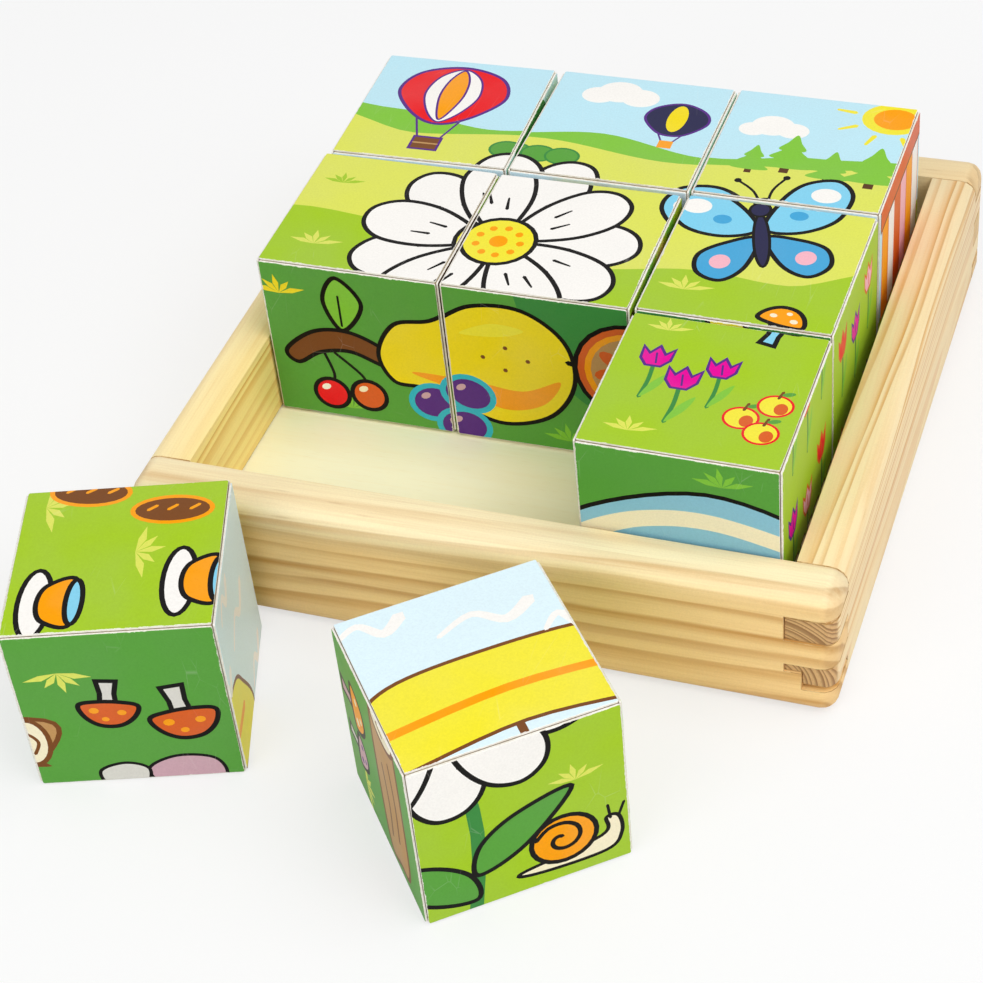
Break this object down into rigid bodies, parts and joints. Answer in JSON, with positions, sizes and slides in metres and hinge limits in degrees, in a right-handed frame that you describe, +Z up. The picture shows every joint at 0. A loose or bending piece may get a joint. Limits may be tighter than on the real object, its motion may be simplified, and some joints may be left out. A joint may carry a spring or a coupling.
{
  "type": "picture cube puzzle",
  "caption": "Picture puzzle of wooden cubes with a printed paper sheet on each face, standing in a finger-jointed pine tray, with loose cubes beside it.",
  "frame": {"origin": "on the table, under the middle of the box round the tray and the loose cubes", "axes": "+Z up, +Y from the loose cubes towards the back of the tray, +X to the right as seen from the loose cubes"},
  "size_m": [0.1572, 0.2166, 0.0512],
  "materials": {
    "pine": "planed and sanded pine, thin clear lacquer",
    "base_board": "thin pale board, sanded",
    "cube_wood": "bare sanded wood",
    "printed_paper": "printed paper, satin varnish"
  },
  "bodies": {
    "tray": {"front_rail": "pine", "back_rail": "pine", "left_rail": "pine", "right_rail": "pine", "base_panel": "base_board"},
    "back_left_cube": {"back_left_cube_core": "cube_wood", "back_left_cube_top_sheet": "printed_paper", "back_left_cube_front_sheet": "printed_paper", "back_left_cube_left_sheet": "printed_paper", "back_left_cube_right_sheet": "printed_paper", "back_left_cube_wrap_sheet": "printed_paper"},
    "back_middle_cube": {"back_middle_cube_core": "cube_wood", "back_middle_cube_top_sheet": "printed_paper", "back_middle_cube_front_sheet": "printed_paper", "back_middle_cube_left_sheet": "printed_paper", "back_middle_cube_right_sheet": "printed_paper", "back_middle_cube_wrap_sheet": "printed_paper"},
    "back_right_cube": {"back_right_cube_core": "cube_wood", "back_right_cube_top_sheet": "printed_paper", "back_right_cube_front_sheet": "printed_paper", "back_right_cube_left_sheet": "printed_paper", "back_right_cube_right_sheet": "printed_paper", "back_right_cube_wrap_sheet": "printed_paper"},
    "middle_left_cube": {"middle_left_cube_core": "cube_wood", "middle_left_cube_top_sheet": "printed_paper", "middle_left_cube_front_sheet": "printed_paper", "middle_left_cube_left_sheet": "printed_paper", "middle_left_cube_right_sheet": "printed_paper", "middle_left_cube_wrap_sheet": "printed_paper"},
    "centre_cube": {"centre_cube_core": "cube_wood", "centre_cube_top_sheet": "printed_paper", "centre_cube_front_sheet": "printed_paper", "centre_cube_left_sheet": "printed_paper", "centre_cube_right_sheet": "printed_paper", "centre_cube_wrap_sheet": "printed_paper"},
    "middle_right_cube": {"middle_right_cube_core": "cube_wood", "middle_right_cube_top_sheet": "printed_paper", "middle_right_cube_front_sheet": "printed_paper", "middle_right_cube_left_sheet": "printed_paper", "middle_right_cube_right_sheet": "printed_paper", "middle_right_cube_wrap_sheet": "printed_paper"},
    "front_right_cube": {"front_right_cube_core": "cube_wood", "front_right_cube_top_sheet": "printed_paper", "front_right_cube_front_sheet": "printed_paper", "front_right_cube_left_sheet": "printed_paper", "front_right_cube_right_sheet": "printed_paper", "front_right_cube_wrap_sheet": "printed_paper"},
    "loose_left_cube": {"loose_left_cube_core": "cube_wood", "loose_left_cube_top_sheet": "printed_paper", "loose_left_cube_front_sheet": "printed_paper", "loose_left_cube_left_sheet": "printed_paper", "loose_left_cube_right_sheet": "printed_paper", "loose_left_cube_wrap_sheet": "printed_paper"},
    "loose_front_cube": {"loose_front_cube_core": "cube_wood", "loose_front_cube_top_sheet": "printed_paper", "loose_front_cube_front_sheet": "printed_paper", "loose_front_cube_left_sheet": "printed_paper", "loose_front_cube_right_sheet": "printed_paper", "loose_front_cube_wrap_sheet": "printed_paper"}
  },
  "joints": [
    {"name": "lift_back_left_cube", "type": "slide", "parent": "tray", "child": "back_left_cube", "axis": [0, 0, 1], "range_m": [0, 0.045]},
    {"name": "lift_back_middle_cube", "type": "slide", "parent": "tray", "child": "back_middle_cube", "axis": [0, 0, 1], "range_m": [0, 0.045]},
    {"name": "lift_back_right_cube", "type": "slide", "parent": "tray", "child": "back_right_cube", "axis": [0, 0, 1], "range_m": [0, 0.045]},
    {"name": "lift_middle_left_cube", "type": "slide", "parent": "tray", "child": "middle_left_cube", "axis": [0, 0, 1], "range_m": [0, 0.045]},
    {"name": "lift_centre_cube", "type": "slide", "parent": "tray", "child": "centre_cube", "axis": [0, 0, 1], "range_m": [0, 0.045]},
    {"name": "lift_middle_right_cube", "type": "slide", "parent": "tray", "child": "middle_right_cube", "axis": [0, 0, 1], "range_m": [0, 0.045]},
    {"name": "lift_front_right_cube", "type": "slide", "parent": "tray", "child": "front_right_cube", "axis": [0, 0, 1], "range_m": [0, 0.045]},
    {"name": "lift_loose_left_cube", "type": "slide", "parent": "tray", "child": "loose_left_cube", "axis": [0, 0, 1], "range_m": [0, 0.045]},
    {"name": "lift_loose_front_cube", "type": "slide", "parent": "tray", "child": "loose_front_cube", "axis": [0, 0, 1], "range_m": [0, 0.045]}
  ]
}
